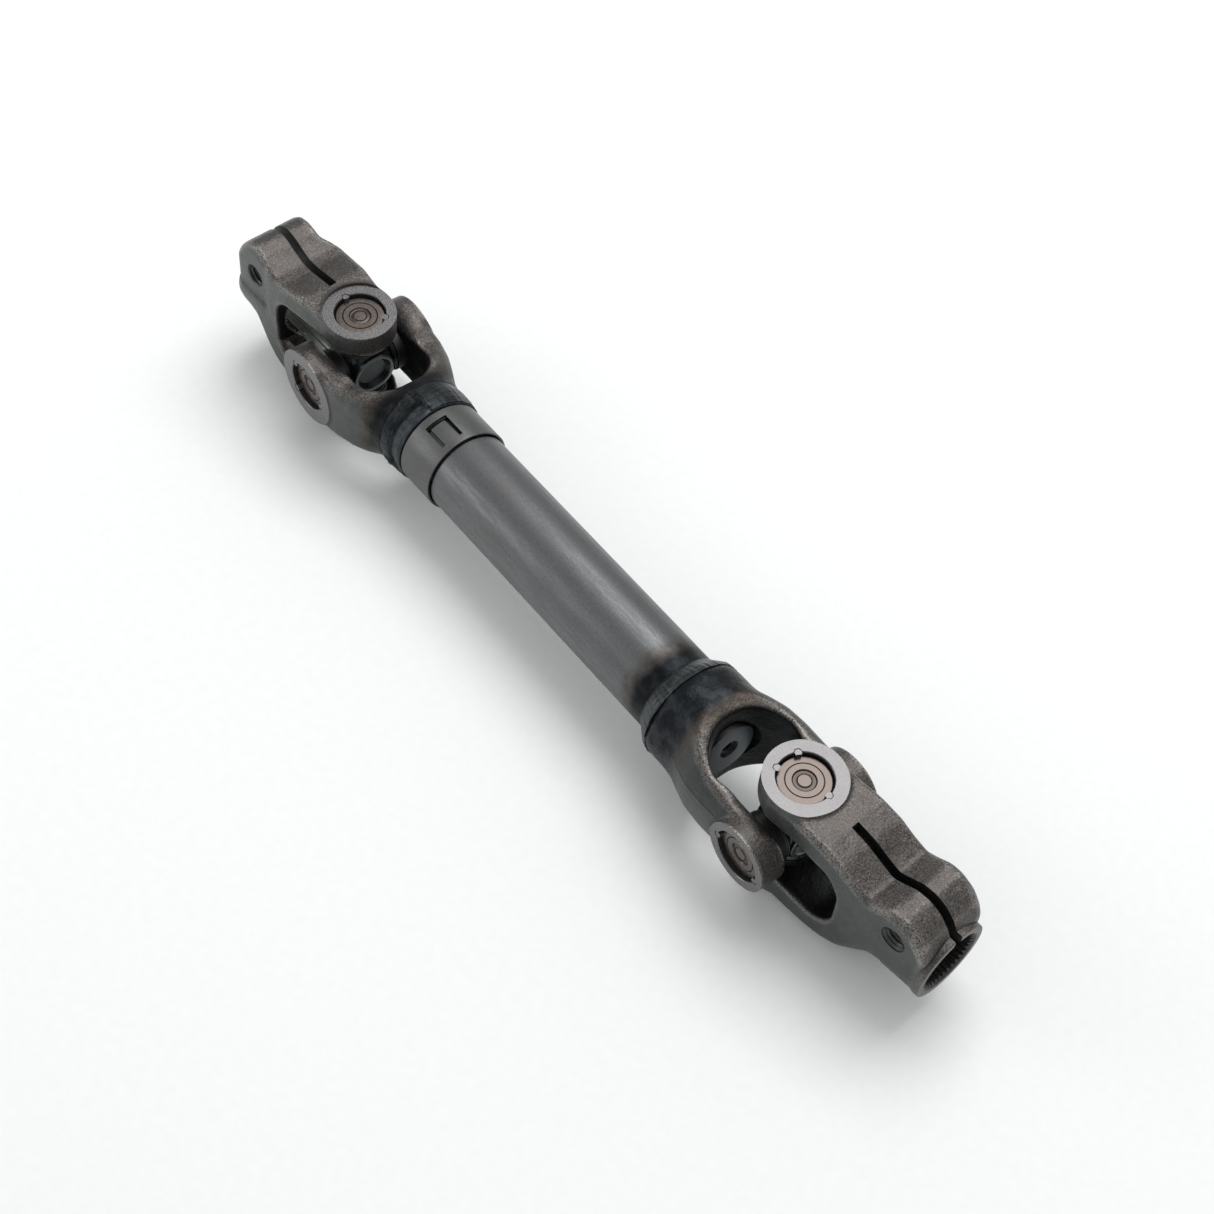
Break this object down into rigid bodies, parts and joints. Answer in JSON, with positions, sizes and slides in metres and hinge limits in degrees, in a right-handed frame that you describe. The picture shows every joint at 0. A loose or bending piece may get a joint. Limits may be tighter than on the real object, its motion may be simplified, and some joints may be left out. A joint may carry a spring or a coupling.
{
  "type": "universal joint shaft",
  "caption": "Telescoping steering shaft with a universal joint at each end, staked needle-bearing cups, and slotted pinch-clamp yokes with serrated bores.",
  "frame": {"origin": "middle of the assembly's bounding box at rest", "axes": "+X along the shaft from the upper joint to the lower joint, +Z along the clamp yokes' pins (tilted by the rest bend), +Y to the far side, along the tube yokes' pins"},
  "size_m": [0.302, 0.039, 0.046],
  "materials": {
    "forged_steel": "forged and shot-blasted, phosphated dark grey-brown, edges worn lighter",
    "tube_steel": "drawn tube, satin dark grey, heat tint near the welds",
    "cap_steel": "pressed sheet, smooth satin grey",
    "shaft_steel": "turned steel, blued by weld heat",
    "bearing_steel": "drawn and hardened cup steel, warm grey",
    "cross_steel": "forged, blackened, pins ground",
    "rubber": "moulded black nitrile",
    "weld": "blue-black weld bead with fine ripples"
  },
  "bodies": {
    "tube_body": {"outer_tube": "tube_steel", "dust_cap": "cap_steel", "cap_seal": "rubber", "hub_plug": "shaft_steel", "lower_tube_yoke": "forged_steel", "lower_weld": "weld", "lower_cup_left": "bearing_steel", "lower_cup_right": "bearing_steel"},
    "slip_body": {"slip_shaft": "shaft_steel", "upper_tube_yoke": "forged_steel", "upper_weld": "weld", "upper_cup_left": "bearing_steel", "upper_cup_right": "bearing_steel"},
    "upper_cross_body": {"upper_cross": "cross_steel", "upper_rollers_left": "bearing_steel", "upper_rollers_right": "bearing_steel", "upper_rollers_top": "bearing_steel", "upper_rollers_bottom": "bearing_steel", "upper_seal_left": "rubber", "upper_seal_right": "rubber", "upper_seal_top": "rubber", "upper_seal_bottom": "rubber"},
    "upper_clamp_body": {"upper_clamp_yoke": "forged_steel", "upper_cup_top": "bearing_steel", "upper_cup_bottom": "bearing_steel"},
    "lower_cross_body": {"lower_cross": "cross_steel", "lower_rollers_left": "bearing_steel", "lower_rollers_right": "bearing_steel", "lower_rollers_top": "bearing_steel", "lower_rollers_bottom": "bearing_steel", "lower_seal_left": "rubber", "lower_seal_right": "rubber", "lower_seal_top": "rubber", "lower_seal_bottom": "rubber"},
    "lower_clamp_body": {"lower_clamp_yoke": "forged_steel", "lower_cup_top": "bearing_steel", "lower_cup_bottom": "bearing_steel"}
  },
  "joints": [
    {"name": "telescope", "type": "slide", "parent": "tube_body", "child": "slip_body", "axis": [-1, 0, 0], "range_m": [0, 0.045]},
    {"name": "upper_pitch", "type": "hinge", "parent": "slip_body", "child": "upper_cross_body", "pos_m": [-0.10372, 0, -0.00192], "axis": [0, 1, 0], "range_deg": [-31.2, 24.8]},
    {"name": "upper_yaw", "type": "hinge", "parent": "upper_cross_body", "child": "upper_clamp_body", "pos_m": [-0.10372, 0, -0.00192], "axis": [0.0558, 0, 0.9984], "range_deg": [-30.5, 25.5]},
    {"name": "lower_pitch", "type": "hinge", "parent": "tube_body", "child": "lower_cross_body", "pos_m": [0.09627, 0, -0.00192], "axis": [0, 1, 0], "range_deg": [-31.2, 24.8]},
    {"name": "lower_yaw", "type": "hinge", "parent": "lower_cross_body", "child": "lower_clamp_body", "pos_m": [0.09627, 0, -0.00192], "axis": [0.0558, 0, 0.9984], "range_deg": [-34, 22]}
  ]
}
